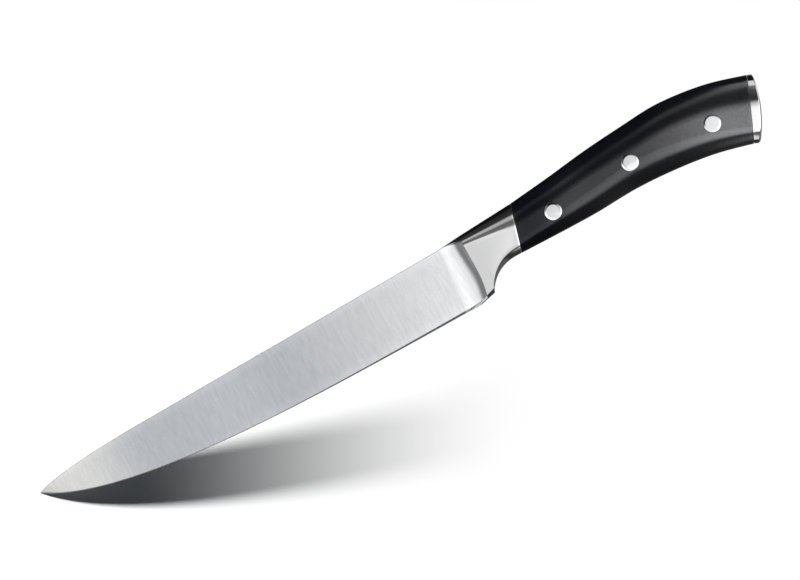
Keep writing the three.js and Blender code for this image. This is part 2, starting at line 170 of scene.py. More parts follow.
def angle(description, degrees):
    return FloatProperty(description=description, default=math.radians(degrees), subtype="ANGLE")


def share(description, default):
    return FloatProperty(description=description, default=default, min=0, subtype="FACTOR")


def colour(description, default):
    return FloatVectorProperty(
        description=description, default=default, size=4, min=0, max=1, subtype="COLOR",
    )


class BladeSizes(bpy.types.PropertyGroup):
    """Sizes of the blade, measured from the heel and up from the lowest point of the edge"""

    length: length("From the tip to the heel", 198.6)
    tip_height: length("Height of the tip", 19)
    heel_height: length("Height of the spine at the heel", 28.8)
    spine_fall: length("Drop of the straight spine from the heel to its bend", 4.2)
    point_length: length("Bent stretch of the spine, back from the tip", 51)
    point_bend: length("Reach of the spine's curve where it leaves the straight", 33.5)
    nose_height: length("Reach of the spine's curve up from the tip", 1.7)
    nose_length: length("Reach of the spine's curve back from the tip", 3.1)
    belly_low: length("Lowest point of the edge, in front of the heel", 58)
    belly_reach: length("Reach of the edge's curve in front of its lowest point", 59.5)
    belly_rise: length("Reach of the edge's curve back from the tip", 23.5)
    belly_aim: length("Height that the edge's curve heads for as it leaves the tip", 3.2)
    edge_lift: length("Height of the edge at the heel", 0.35)
    spine_thickness: length("Thickness of the spine at the heel", 2.3)
    tip_thickness: length("Thickness at the tip, before the point is rounded", 1)
    edge_thickness: length("Thickness behind the sharpened bevel, at the heel", 0.5)
    edge_least: length("Thickness behind the bevel, towards the tip", 0.15)
    bevel_angle: angle("Angle of the sharpened bevel on each side", 15)
    spine_ease: length("Rounding of the spine's corners", 0.15)


class BolsterSizes(bpy.types.PropertyGroup):
    """Sizes of the bolster, the finger choil and the tang"""

    front: length("Front of the bolster at the spine, behind the heel", 3.2)
    toe: length("Front of the bolster at the edge, behind the heel", 1.4)
    fillet_length: length("Sweep from the blade's side up to the bolster", 10.5)
    fillet_sweep: angle("Angle that the sweep turns through", 68)
    height: length("Height of the top at the front", 29.65)
    thickness: length("Thickness at the front, near the spine", 10.4)
    toe_thickness: length("Thickness at the front, near the edge", 7.6)
    toe_flat: length("Flat left under the toe", 2.4)
    top_round: length("Rounding of the top at the front", 4.5)
    toe_round: length("Rounding under the toe", 2.2)
    lip_length: length("Last stretch of the side, which flares out to the grip", 0.6)
    lip_share: share("Share of the side's growth that is left to the lip", 0.045)
    bow: length("How far the front edge bows back below its middle", 1.15)
    edge_stop: length("The sharp edge ends this far in front of the heel", 2)
    heel_length: length("Heel corner, behind the heel", 5.3)
    heel_rise: length("Height of the heel corner", 2.1)
    choil_radius: length("Radius of the finger choil", 16)
    tang_thickness: length("Thickness of the tang between the scales", 2.6)
    tang_shy: length("The tang's edges lie this far inside the grip's outline", 0.1)
    tenon_length: length("Reach of the tenon into the cap", 2.5)
    tenon_height: length("Height of the tenon", 14)
    tenon_thickness: length("Thickness of the tenon", 2)


class GripSizes(bpy.types.PropertyGroup):
    """Sizes of the grip scales and the butt cap"""

    setback: length("Foot of the bolster seam, behind the heel", 22.8)
    thickness: along_grip("Thickness", 15.6, 19.4, 1.1)
    top_round: along_grip("Rounding of the top", 9.2, 13.2, 0.2)
    under_round: along_grip("Rounding of the underside", 4.6, 6.3, 5)
    fullness: share("Shape of the roundings: 2 is an ellipse, more is squarer", 2.2)
    cap_wall: length("Length of the cap at its top and underside", 2.6)
    cap_crown: length("How much longer the cap is half-way up", 1.8)
    cap_edge: length("Rounding of the cap's end", 0.9)
    joint_gap: length("Glue line under the scales and at the seams", 0.1)
    edge_break: length("Small rounding of the edges at the seams", 0.14)


class RivetSizes(bpy.types.PropertyGroup):
    """Sizes of the two-part rivets"""

    head_thickness: length("Depth of a head below the grip's surface", 2.4)
    sleeve_diameter: length("Outside of the sleeve", 4.8)
    pin_diameter: length("Pin of the stud", 3)
    sleeve_shy: length("The sleeve stops this far short of the stud's head", 0.5)
    pin_shy: length("The pin stops this far short of the bore's end", 0.6)
    bore_floor: length("The bore stops this far short of the sleeve's own head", 0.8)
    fit_gap: length("Clearance round the rivets and the tenon", 0.1)
    rim_break: length("Small rounding of a head's rim", 0.12)


class KnifeFinishes(bpy.types.PropertyGroup):
    """Colours and gloss of the knife"""

    # Painted reflection: the blade's three colours are lit and shaded copies of one ground steel
    blade_tip: colour("Ground stainless steel at the tip", (0.52, 0.522, 0.506, 1))
    blade_middle: colour("Ground stainless steel of the blade's middle", (0.34, 0.353, 0.373, 1))
    blade_heel: colour("Ground stainless steel at the heel", (0.755, 0.76, 0.77, 1))
    bolster: colour("Satin stainless steel of the bolster and tang", (0.445, 0.445, 0.447, 1))
    polish: colour("Polished stainless steel of the rivets and the cap", (0.86, 0.86, 0.865, 1))
    plastic: colour("Black plastic of the grip scales", (0.0022, 0.0026, 0.0042, 1))
    blade_roughness: share("Roughness of the ground blade", 0.24)
    bolster_roughness: share("Roughness of the satin bolster", 0.13)
    polish_roughness: share("Roughness of the polished steel", 0.08)
    plastic_roughness: share("Roughness of the sanded plastic", 0.2)


class KnifeSettings(bpy.types.PropertyGroup):
    """All sizes and finishes of the knife"""

    blade: PointerProperty(type=BladeSizes)
    bolster: PointerProperty(type=BolsterSizes)
    grip: PointerProperty(type=GripSizes)
    rivet: PointerProperty(type=RivetSizes)
    finish: PointerProperty(type=KnifeFinishes)


def settings():
    return bpy.context.scene.kitchen_knife


# Curves in the side view, as points with x along the knife from the heel and y as height

def lerp(a, b, amount):
    return a + (b - a) * amount


def marks_along(points):
    """The length of a polyline up to each of its points."""
    marks = [0.0]
    for a, b in zip(points, points[1:]):
        marks.append(marks[-1] + (b - a).length)
    return marks


def by_length(points):
    """Give the function from a share of a polyline's length, 0 to 1, to the point there."""
    marks = marks_along(points)

    def point_at(amount):
        wanted = amount * marks[-1]
        i = min(max(bisect.bisect_left(marks, wanted), 1), len(marks) - 1)
        return points[i - 1].lerp(points[i], (wanted - marks[i - 1]) / (marks[i] - marks[i - 1]))

    return point_at


def bezier(start, start_reach, end_reach, end):
    return interpolate_bezier(start, start_reach, end_reach, end, CURVE_STEPS)


def grip_point(outline, station):
    """A point of the grip's outline, on a smooth curve through its given points."""
    points = [Vector((along, up)) * MM for along, up in outline]
    i = min(int(station * (len(points) - 1)), len(points) - 2)
    before, after = points[max(i - 1, 0)], points[min(i + 2, len(points) - 1)]
    start, end = points[i], points[i + 1]
    t = station * (len(points) - 1) - i
    leave, arrive = (end - before) / 2, (after - start) / 2
    curve = ((start - end) * 2 + leave + arrive) * t**3
    curve += ((end - start) * 3 - leave * 2 - arrive) * t**2
    return curve + leave * t + start + Vector((settings().grip.setback, 0))


def grip_under(station):
    return grip_point(GRIP_UNDER, station)


def grip_top(station):
    return grip_point(GRIP_TOP, station)


def grip_end():
    """Middle of the grip's last section, half its height, and the directions up and back from it."""
    under, top = grip_under(1), grip_top(1)
    up = (top - under).normalized()
    return (under + top) / 2, (top - under).length / 2, up, Vector((up.y, -up.x))


def grip_stations():
    return [i / GRIP_STEPS for i in range(GRIP_STEPS + 1)]


# Cross-sections

def quarter(steps, fullness):
    """A quarter of a superellipse, as shares of its width and height, from its foot to its side."""
    turns = (i / steps * math.pi / 2 for i in range(steps + 1))
    power = 2 / fullness
    return [(math.sin(turn) ** power, 1 - max(math.cos(turn), 0) ** power) for turn in turns]


class Shape(NamedTuple):
    """One side of a cross-section: superellipse roundings at the underside and the top, a straight side
    between them, and how far the section bows backwards."""

    under_round: float
    under_width: float
    under_flat: float
    under_fullness: float
    top_round: float
    top_width: float
    top_flat: float
    top_fullness: float
    bow: float = 0

    def mixed(self, other, amount):
        return Shape(*(lerp(a, b, amount) for a, b in zip(self, other)))

    def outline(self, height):
        """Points from the underside round to the top, as half width and height."""
        points = [
            (lerp(self.under_flat, self.under_width, out), self.under_round * up)
            for out, up in quarter(UNDER_STEPS, self.under_fullness)
        ]
        for i in range(1, SIDE_STEPS):
            up = i / SIDE_STEPS
            points.append((
                lerp(self.under_width, self.top_width, up),
                lerp(self.under_round, height - self.top_round, up),
            ))
        for out, down in reversed(quarter(TOP_STEPS, self.top_fullness)):
            points.append((lerp(self.top_flat, self.top_width, out), height - self.top_round * down))
        return points

    def width_at(self, up, height):
        """Half width at one height."""
        if up < self.under_round:
            steep = max(1 - up / self.under_round, 0)
            out = (1 - steep**self.under_fullness) ** (1 / self.under_fullness)
            return lerp(self.under_flat, self.under_width, out)
        if up > height - self.top_round:
            steep = min((up - height + self.top_round) / self.top_round, 1)
            out = (1 - steep**self.top_fullness) ** (1 / self.top_fullness)
            return lerp(self.top_flat, self.top_width, out)
        side = (up - self.under_round) / (height - self.top_round - self.under_round)
        return lerp(self.under_width, self.top_width, side)


def in_frame(point, y=0.0):
    """A point of the side view in the frame, whose front end is the tip."""
    return Vector((CAD_BOX[0][0] + settings().blade.length + point.x, y, point.y))


def left_section(under, top, shape, centred=True):
    """The left half of a section between two points of the side view, as points in the frame. A centred
    one starts and ends in the plane of the blade."""
    height = max((top - under).length, WELD)
    outline = shape.outline(height)
    if centred:
        outline = [(0, 0), *outline, (0, height)]
    points = []
    for width, up in outline:
        amount = up / height
        bowed = BOW_PEAK * shape.bow * amount * (1 - amount) ** 2
        points.append(in_frame(under.lerp(top, amount) + Vector((bowed, 0)), -width))
    return points


def swelling(size, station):
    """A size that changes evenly along the grip, with something extra half-way."""
    front, rear, swell = size
    return lerp(front, rear, station) + swell * math.sin(math.pi * station)


def grip_shape(station, flat):
    grip = settings().grip
    half_thickness = swelling(grip.thickness, station) / 2
    return Shape(
        under_round=swelling(grip.under_round, station),
        under_width=half_thickness,
        under_flat=flat,
        under_fullness=grip.fullness,
        top_round=swelling(grip.top_round, station),
        top_width=half_thickness,
        top_flat=flat,
        top_fullness=grip.fullness,
    )


# Meshes

def sweep(bm, sections, closed=False):
    """Extrude the first section from station to station, and give its vertices row by row."""
    row = [bm.verts.new(point) for point in sections[0]]
    ends = row[1:] + row[:1] if closed else row[1:]
    edges = [bm.edges.new(pair) for pair in zip(row, ends)]
    rows = [row]
    for section in sections[1:]:
        made = bmesh.ops.extrude_edge_only(bm, edges=edges)["geom"]
        fresh = {item for item in made if isinstance(item, bmesh.types.BMVert)}
        made_edges = (item for item in made if isinstance(item, bmesh.types.BMEdge))
        edges = [edge for edge in made_edges if fresh.issuperset(edge.verts)]
        row = [next(e.other_vert(v) for e in v.link_edges if e.other_vert(v) in fresh) for v in row]
        for vert, point in zip(row, section):
            vert.co = point
        rows.append(row)
    return rows


def row_edges(row):
    members = set(row)
    return [e for e in {e for v in row for e in v.link_edges} if members.issuperset(e.verts)]


def break_edges(bm, edges, offset):
    bmesh.ops.bevel(
        bm, geom=edges, offset=offset, affect="EDGES", segments=BREAK_STEPS, profile=0.5, material=-1,
        clamp_overlap=True,
    )


def mirror_to_right(bm):
    """Add the right half, weld it on in the plane of the blade and close what is still open."""
    bmesh.ops.mirror(bm, geom=[*bm.verts, *bm.edges, *bm.faces], axis="Y", merge_dist=WELD)
    close_up(bm)


def close_up(bm):
    bmesh.ops.remove_doubles(bm, verts=bm.verts, dist=WELD)
    bmesh.ops.dissolve_degenerate(bm, edges=bm.edges, dist=WELD)
    bmesh.ops.holes_fill(bm, edges=[e for e in bm.edges if e.is_boundary], sides=0)
    bmesh.ops.recalc_face_normals(bm, faces=bm.faces)


def add_object(name, data):
    made = bpy.data.objects.new(name, data)
    bpy.context.scene.collection.objects.link(made)
    return made


def mesh_object(name, bm):
    mesh = bpy.data.meshes.new(name)
    bm.to_mesh(mesh)
    bm.free()
    return add_object(name, mesh)


def bore(piece, cutters):
    """Cut the cutters out of a piece, and delete them."""
    for cutter in cutters:
        modifier = piece.modifiers.new("Bore", "BOOLEAN")
        modifier.operation = "DIFFERENCE"
        modifier.solver = "EXACT"
        modifier.object = cutter
    depsgraph = bpy.context.evaluated_depsgraph_get()
    cut = bpy.data.meshes.new_from_object(piece.evaluated_get(depsgraph))
    bm = bmesh.new()
    bm.from_mesh(cut)
    bmesh.ops.dissolve_degenerate(bm, edges=bm.edges, dist=SLIVER)
    bm.to_mesh(cut)
    bm.free()
    piece.modifiers.clear()
    piece.data = cut
    cut.name = piece.name
    for cutter in cutters:
        bpy.data.meshes.remove(cutter.data)


def dress(piece, slot, nodes, *materials):
    """Shade a finished piece smooth up to its sharp edges, and seat it in the frame."""
    for material in materials:
        piece.data.materials.append(material)
    piece.data.polygons.foreach_set("use_smooth", [True] * len(piece.data.polygons))
    piece.data.set_sharp_from_angle(angle=SHARP_ANGLE)
    shading = piece.modifiers.new("Even shading", "WEIGHTED_NORMAL")
    shading.keep_sharp = True
    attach(piece, "root")
    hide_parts(*nodes)


# Shader nodes

class Value:
    """A socket that carries one number, so that maths on it is written as an expression."""

    def __init__(self, nodes, socket):
        self.nodes = nodes
        self.socket = socket

    def __add__(self, other):
        return self.nodes.maths("ADD", self, other)

    def __sub__(self, other):
        return self.nodes.maths("SUBTRACT", self, other)

    def __rsub__(self, other):
        return self.nodes.maths("SUBTRACT", other, self)

    def __mul__(self, other):
        return self.nodes.maths("MULTIPLY", self, other)

    def __truediv__(self, other):
        return self.nodes.maths("DIVIDE", self, other)

    def __abs__(self):
        return self.nodes.maths("ABSOLUTE", self)

    __radd__ = __add__
    __rmul__ = __mul__


class Nodes:
    """The node tree of a material or the world."""

    def __init__(self, owner):
        owner.use_nodes = True
        self.tree = owner.node_tree
        self.tree.nodes.clear()

    def add(self, kind, options=None, sockets=None, output=0):
        """Add one node: its type, its settings, and the values or links of its sockets."""
        node = self.tree.nodes.new(kind)
        for name, value in (options or {}).items():
            setattr(node, name, value)
        for name, value in (sockets or {}).items():
            if isinstance(value, Value):
                self.tree.links.new(value.socket, node.inputs[name])
            else:
                node.inputs[name].default_value = value
        return Value(self, node.outputs[output]) if node.outputs else None

    def maths(self, operation, *values):
        return self.add("ShaderNodeMath", {"operation": operation}, dict(enumerate(values)))

    def most(self, first, *others):
        """The largest of some values."""
        for other in others:
            first = self.maths("MAXIMUM", first, other)
        return first

    def rise(self, value, low, high):
        """0 below low, 1 above high, and smooth between them."""
        return self.add(
            "ShaderNodeMapRange", {"interpolation_type": "SMOOTHSTEP"},
            {"Value": value, "From Min": low, "From Max": high},
        )

    def slope(self, value, low, high):
        """0 below low, 1 above high, and even between them."""
        return self.add("ShaderNodeMapRange", None, {"Value": value, "From Min": low, "From Max": high})

    def levels(self, value, start, *changes):
        """A level that changes by some amount between two places, once or more."""
        level = start
        for low, high, change in changes:
            level = self.rise(value, low, high) * change + level
        return level

    def window(self, value, low, high, soft):
        """1 from low to high, fading to 0 outside."""
        return self.rise(value, low - soft, low + soft) * (1 - self.rise(value, high - soft, high + soft))

    def place(self):
        return self.add("ShaderNodeTexCoord", output="Object")

    def along(self, place, axis):
        return self.add("ShaderNodeSeparateXYZ", None, {"Vector": place}, axis)

    def grain(self, place, stretch, detail=2.0, roughness=0.5):
        """Noise with this many cells to the metre along X, Y and Z."""
        mapped = self.add("ShaderNodeMapping", None, {"Vector": place, "Scale": stretch})
        return self.add("ShaderNodeTexNoise", None, {
            "Vector": mapped, "Scale": 1.0, "Detail": detail, "Roughness": roughness,
        })

    def blend(self, amount, low, high):
        """A colour between two colours."""
        return self.add(
            "ShaderNodeMix", {"data_type": "RGBA"}, {"Factor": amount, 6: low, 7: high}, output=2,
        )

    def bump(self, height, distance):
        return self.add("ShaderNodeBump", None, {"Height": height, "Distance": distance, "Strength": 1.0})

    def surface(self, **sockets):
        """The tree's output: a surface whose sockets are named in small letters."""
        named = {
            name.replace("_", " ").title().replace("Ior", "IOR"): value for name, value in sockets.items()
        }
        shader = self.add("ShaderNodeBsdfPrincipled", None, named)
        self.add("ShaderNodeOutputMaterial", None, {"Surface": shader})


def shaded(tone, factor):
    return (tone[0] * factor, tone[1] * factor, tone[2] * factor, 1)


def new_material(name):
    material = bpy.data.materials.new(name)
    return material, Nodes(material)


# Finishes

def ground_steel():
    """Stainless steel ground across the blade: fine lines from edge to spine, in patches. Its colour also
    carries painted reflection, lit at the tip and heel and shaded in the middle, and painted highlights
    along the edge and spine.
    """
    finish = settings().finish
    material, n = new_material("ground_steel")
    place = n.place()
    lines = n.grain(place, (800, 0, 150), detail=3)
    streaks = n.grain(place, (260, 0, 40))
    patches = n.grain(place, (30, 0, 40))
    # Painted reflection along the blade: lighter at the tip and towards the heel, darker in the middle and
    # again at the fillet, and painted highlights towards its edge and spine
    x, z = n.along(place, "X"), n.along(place, "Z")
    past_tip = n.rise(x, -0.158, -0.12)
    to_heel = n.maths("POWER", n.slope(x, -0.066, 0.02), 1.3)
    to_heel += n.window(x, -0.096, -0.064, 0.012) * 0.075
    to_heel -= n.rise(x, 0.0195, 0.0235) * 0.14
    # Painted highlights: the colour is lighter towards the edge and along the spine
    edge_highlight = 1 - n.rise(z, -0.001, 0.006)
    spine_highlight = n.rise(z - x * 0.0285, 0.0236, 0.028)
    tone = streaks * 0.3 + lines * 0.5 + patches * 0.2 + edge_highlight * 0.25 + spine_highlight * 0.22
    dark, light = (
        n.blend(
            to_heel,
            n.blend(past_tip, shaded(finish.blade_tip, factor), shaded(finish.blade_middle, factor)),
            shaded(finish.blade_heel, factor),
        )
        for factor in (0.74, 1.26)
    )
    n.surface(
        base_color=n.blend(tone, dark, light),
        metallic=1.0,
        roughness=finish.blade_roughness + (streaks - 0.5) * 0.06 + (patches - 0.5) * 0.06,
        normal=n.bump(lines, 0.003 * MM),
    )
    return material


def rubbed_steel(name, tone, roughness, lines, patches, patch_shine, contrast, depth):
    """Stainless steel with the fine lines that rubbing leaves, and patches of changing shine."""
    material, n = new_material(name)
    place = n.place()
    lines, patches = n.grain(place, lines), n.grain(place, (patches, patches, patches))
    dark, light = (shaded(tone, factor) for factor in contrast)
    n.surface(
        base_color=n.blend(lines, dark, light),
        metallic=1.0,
        roughness=roughness + (lines - 0.5) * 0.08 + (patches - 0.5) * patch_shine,
        normal=n.bump(lines, depth),
    )
    return material


def satin_steel():
    """Short lines across the bolster, almost polished."""
    finish = settings().finish
    return rubbed_steel(
        "satin_steel", finish.bolster, finish.bolster_roughness, lines=(4200, 1500, 160), patches=90,
        patch_shine=0.06, contrast=(0.95, 1.04), depth=0.0015 * MM,
    )


def buffed_steel():
    """Bright steel, with hairlines left by the last pass."""
    finish = settings().finish
    return rubbed_steel(
        "buffed_steel", finish.polish, finish.polish_roughness, lines=(260, 4200, 5200), patches=220,
        patch_shine=0.05, contrast=(0.96, 1.03), depth=0.001 * MM,
    )


def black_plastic():
    """Black plastic sanded along the grip: fine lines, a slight mottle and rubbed patches."""
    finish = settings().finish
    material, n = new_material("black_plastic")
    place = n.place()
    lines = n.grain(place, (240, 3600, 3600), detail=3, roughness=0.6)
    mottle = n.grain(place, (900, 900, 900))
    patches = n.grain(place, (55, 55, 55))
    height = lines * 0.6 + mottle * 0.4
    # Painted sheen: the gloss coat grows from none near the bolster to full towards the cap, brightening
    # the reflections there
    painted_sheen = n.levels(n.along(place, "X"), 0.0, (0.06, 0.082, 0.33), (0.11, 0.155, 0.67))
    n.surface(
        base_color=n.blend(patches, shaded(finish.plastic, 0.8), shaded(finish.plastic, 1.25)),
        roughness=finish.plastic_roughness + (lines - 0.5) * 0.1 + (patches - 0.5) * 0.16,
        normal=n.bump(height, 0.009 * MM),
        specular_ior_level=0.42,
        specular_tint=(0.9, 0.93, 1, 1),
        coat_weight=painted_sheen * (0.66 + mottle * 0.45 + patches * 0.2),
        coat_roughness=0.2,
        coat_ior=2.45,
    )
    return material


def finish_named(maker):
    """The material of this name, made the first time that it is asked for."""
    return bpy.data.materials.get(maker.__name__) or maker()


# Blade, bolster and tang

def blade_thickness(x, height):
    """The blade's sides are flat: their thickness changes evenly from edge to spine and heel to tip."""
    blade = settings().blade
    per_height = (blade.spine_thickness - blade.edge_thickness) / blade.heel_height
    tip_loss = blade.edge_thickness + per_height * blade.tip_height - blade.tip_thickness
    return blade.edge_thickness + per_height * height + tip_loss / blade.length * x


def blade_shape(under, top):
    blade = settings().blade
    height = max((top - under).length, WELD)
    edge_half = max(blade_thickness(under.x, 0), blade.edge_least) / 2
    spine_half = blade_thickness(top.x, top.y) / 2
    bevel_slope = math.tan(blade.bevel_angle)
    side_slope = min((spine_half - edge_half) / height, bevel_slope / 2)
    bevel = min(edge_half / (bevel_slope - side_slope), height / 2)
    under_width = bevel * bevel_slope
    top_width = min(spine_half, under_width + (height - bevel) * side_slope)
    ease = min(blade.spine_ease, top_width / 2, height / 4)
    return Shape(
        under_round=bevel,
        under_width=under_width,
        under_flat=0,
        under_fullness=1,
        top_round=ease,
        top_width=top_width - side_slope * ease,
        top_flat=top_width - ease,
        top_fullness=2,
    )


def spine_height(x):
    blade = settings().blade
    return blade.heel_height + blade.spine_fall / (blade.length - blade.point_length) * x


def edge_height(x):
    """Height of the underside from the last of the edge to the heel corner."""
    blade, bolster = settings().blade, settings().bolster
    slope = (bolster.heel_rise - blade.edge_lift) / (bolster.heel_length + bolster.edge_stop)
    return blade.edge_lift + max(0, slope * (x + bolster.edge_stop))


def fillet_start():
    """Underside and top of the section where the blade's flat sides end."""
    bolster = settings().bolster
    x = bolster.front - bolster.fillet_length
    under = Vector((bolster.toe - bolster.fillet_length, settings().blade.edge_lift))
    return under, Vector((x, spine_height(x)))


def bolster_start():
    """Underside and top of the bolster's front edge."""
    bolster = settings().bolster
    return Vector((bolster.toe, edge_height(bolster.toe))), Vector((bolster.front, bolster.height))


def bolster_shape():
    bolster, grip = settings().bolster, settings().grip
    return Shape(
        under_round=bolster.toe_round,
        under_width=bolster.toe_thickness / 2,
        under_flat=bolster.toe_flat / 2,
        under_fullness=grip.fullness,
        top_round=bolster.top_round,
        top_width=bolster.thickness / 2,
        top_flat=bolster.tang_thickness / 2,
        top_fullness=grip.fullness,
        bow=bolster.bow,
    )


def blade_sections():
    blade = settings().blade
    end_under, end_top = fillet_start()
    tip = Vector((-blade.length, blade.tip_height))
    bend_x = blade.point_length - blade.length
    bend = Vector((bend_x, spine_height(bend_x)))
    bend_reach = Vector((bend_x - blade.point_bend, spine_height(bend_x - blade.point_bend)))
    low = Vector((-blade.belly_low, 0))
    lift = Vector(((low.x + end_under.x) / 2, 0))
    tip_reach = Vector((tip.x + blade.belly_rise, blade.belly_aim))
    belly = bezier(tip, tip_reach, low - Vector((blade.belly_reach, 0)), low)
    heel_end = bezier(low, low.lerp(lift, 2 / 3), end_under.lerp(lift, 2 / 3), end_under)
    edge = by_length(belly + heel_end[1:])
    nose = tip + Vector((blade.nose_length, blade.nose_height))
    spine = by_length(bezier(tip, nose, bend_reach, bend) + [end_top])
    sections = []
    for i in range(BLADE_STEPS):
        amount = (i / BLADE_STEPS) ** TIP_CROWDING
        under, top = edge(amount), spine(amount)
        sections.append(left_section(under, top, blade_shape(under, top)))
    return sections


def fillet_sections():
    """The blade's side sweeps up to the bolster on an arc."""
    bolster = settings().bolster
    start_under, start_top = fillet_start()
    end_under, end_top = bolster_start()
    sections = []
    for i in range(FILLET_STEPS):
        turn = i / FILLET_STEPS * bolster.fillet_sweep
        along = math.sin(turn) / math.sin(bolster.fillet_sweep)
        rise = (1 - math.cos(turn)) / (1 - math.cos(bolster.fillet_sweep))
        under = start_under.lerp(end_under, along)
        under.y = edge_height(under.x)
        top = start_top.lerp(end_top, along)
        sections.append(left_section(under, top, blade_shape(under, top).mixed(bolster_shape(), rise)))
    return sections


def choil_path():
    """The bolster's underside: a short heel, then an arc that runs level into the grip."""
    bolster = settings().bolster
    corner = Vector((bolster.heel_length, bolster.heel_rise))
    foot = grip_under(0)
    sink, room = foot.y - corner.y, foot.x - corner.x
    radius = min(bolster.choil_radius, (room**2 + sink**2) / (2 * sink))
    turn = math.acos(1 - sink / radius)
    centre = Vector((corner.x + radius * math.sin(turn), foot.y - radius))
    arc = [
        centre + radius * Vector((-math.sin(a), math.cos(a)))
        for a in (turn * (1 - i / CHOIL_STEPS) for i in range(CHOIL_STEPS + 1))
    ]
    return [bolster_start()[0], *arc, foot]


def bolster_sections():
    """The bolster widens evenly up to a small lip, which flares out to the grip."""
    bolster = settings().bolster
    path = choil_path()
    under_at = by_length(path)
    top_start, top_end = bolster_start()[1], grip_top(0)
    seam = grip_shape(0, bolster.tang_thickness / 2)
    marks = marks_along(path)
    total = marks[-1]
    lip = 1 - bolster.lip_length / total
    sections = []
    for mark in sorted({*(mark / total for mark in marks), lip}):
        wide = (1 - bolster.lip_share) * mark / lip
        if mark > lip:
            wide = lerp(1 - bolster.lip_share, 1, (mark - lip) / (1 - lip))
        shape = bolster_shape().mixed(seam, mark)._replace(
            under_width=lerp(bolster.toe_thickness / 2, seam.under_width, wide),
            top_width=lerp(bolster.thickness / 2, seam.top_width, wide),
        )
        sections.append(left_section(under_at(mark), top_start.lerp(top_end, mark), shape))
    return sections


def plate_section(under, top, half_thickness):
    """A flat plate between two points of the side view."""
    corner = half_thickness * PLATE_CORNER
    rounding = (corner, half_thickness, half_thickness - corner, 2)
    return left_section(under, top, Shape(*rounding, *rounding))


def tang_sections():
    """A plate just inside the grip's outline, with a tenon at its end for the cap."""
    bolster, grip = settings().bolster, settings().grip
    shy = Vector((0, bolster.tang_shy))
    gap = Vector((grip.joint_gap, 0))
    half = bolster.tang_thickness / 2
    sections = [plate_section(grip_under(s) + shy, grip_top(s) - shy, half) for s in grip_stations()[:-1]]
    sections.append(plate_section(grip_under(1) + shy - gap, grip_top(1) - shy - gap, half))
    middle, _, up, back = grip_end()
    reach = up * bolster.tenon_height / 2
    for shift in (-gap, back * bolster.tenon_length):
        sections.append(
            plate_section(middle - reach + shift, middle + reach + shift, bolster.tenon_thickness / 2),
        )
    return sections


class KNIFE_OT_forged_blade(bpy.types.Operator):
    """Forge the blade, its bolster and its full tang as one piece"""

    bl_idname = "knife.forged_blade"
    bl_label = "Forged Blade"

    def execute(self, context):
        grip = settings().grip
        bm = bmesh.new()
        blade, fillet = blade_sections(), fillet_sections()
        bolster, tang = bolster_sections(), tang_sections()
        rows = sweep(bm, blade + fillet + bolster + tang)
        front = len(blade) + len(fillet)
        seam = front + len(bolster) - 1
        # A crisp ridge between the sharpened bevel and the side
        shoulder = UNDER_STEPS + 1
        for row, after in zip(rows[:len(blade)], rows[1:]):
            bm.edges.get((row[shoulder], after[shoulder])).smooth = False
        # Ground sides, satin on the rest, and a band of the bright polished steel at the grip's seam, as a
        # painted highlight along that edge
        row_of = {vert: i for i, row in enumerate(rows) for vert in row}
        honed = {vert for row in rows[:len(blade) + 1] for vert in row[:shoulder + 1]}
        for face in bm.faces:
            last = max(row_of[vert] for vert in face.verts)
            ground = last <= front and not honed.issuperset(face.verts)
            face.material_index = GROUND if ground else BUFFED if last == seam else SATIN
        break_edges(bm, row_edges(rows[front]), grip.edge_break)
        break_edges(bm, row_edges(rows[seam]), grip.edge_break)
        mirror_to_right(bm)
        piece = mesh_object("blade_and_bolster", bm)
        finishes = [finish_named(maker) for maker in (ground_steel, satin_steel, buffed_steel)]
        dress(piece, "blade_steel", ["forged_blade"], *finishes)
        return {"FINISHED"}


# Grip scales

def rivet_places():
    """Name, axis place and head radius of each rivet, read from the frame."""
    places = []
    for name in ("front", "middle", "rear"):
        low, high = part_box(f"rivet_{name}_stud")
        places.append((name, (low + high) / 2, (high.z - low.z) / 2))
    return places


def grip_surface(x, z):
    """How far the grip's surface lies from the plane of the blade at one place of the side view."""
    low, high = 0.0, 1.0
    while high - low > STATION_STEP:
        station = (low + high) / 2
        under, top = in_frame(grip_under(station)), in_frame(grip_top(station))
        amount = (z - under.z) / (top.z - under.z)
        if lerp(under.x, top.x, amount) < x:
            low = station
        else:
            high = station
    height = (top - under).length
    return grip_shape(low, settings().bolster.tang_thickness / 2).width_at(amount * height, height)


def turned_bar(centre, profile):
    """A piece turned about an axis along Y, from its profile of radius and place along the axis."""
    bm = bmesh.new()
    points = [bm.verts.new((centre.x + radius, y, centre.z)) for radius, y in profile]
    edges = [bm.edges.new(pair) for pair in zip(points, points[1:])]
    bmesh.ops.spin(
        bm, geom=points + edges, cent=(centre.x, 0, centre.z), axis=(0, 1, 0), angle=2 * math.pi,
        steps=RIVET_SIDES, use_merge=True, use_duplicate=False,
    )
    bmesh.ops.remove_doubles(bm, verts=bm.verts, dist=WELD)
    bmesh.ops.recalc_face_normals(bm, faces=bm.faces)
    return bm


def scale_sections():
    bolster, grip = settings().bolster, settings().grip
    bed = bolster.tang_thickness / 2 + grip.joint_gap
    sections = []
    for station in grip_stations():
        under, top = grip_under(station), grip_top(station)
        outside = left_section(under, top, grip_shape(station, bed), centred=False)
        inside = [outside[-1].lerp(outside[0], i / TANG_STEPS) for i in range(1, TANG_STEPS)]
        inset = {0: grip.joint_gap, 1: -grip.joint_gap}.get(station, 0)
        sections.append([point + Vector((inset, 0, 0)) for point in outside + inside])
    return sections


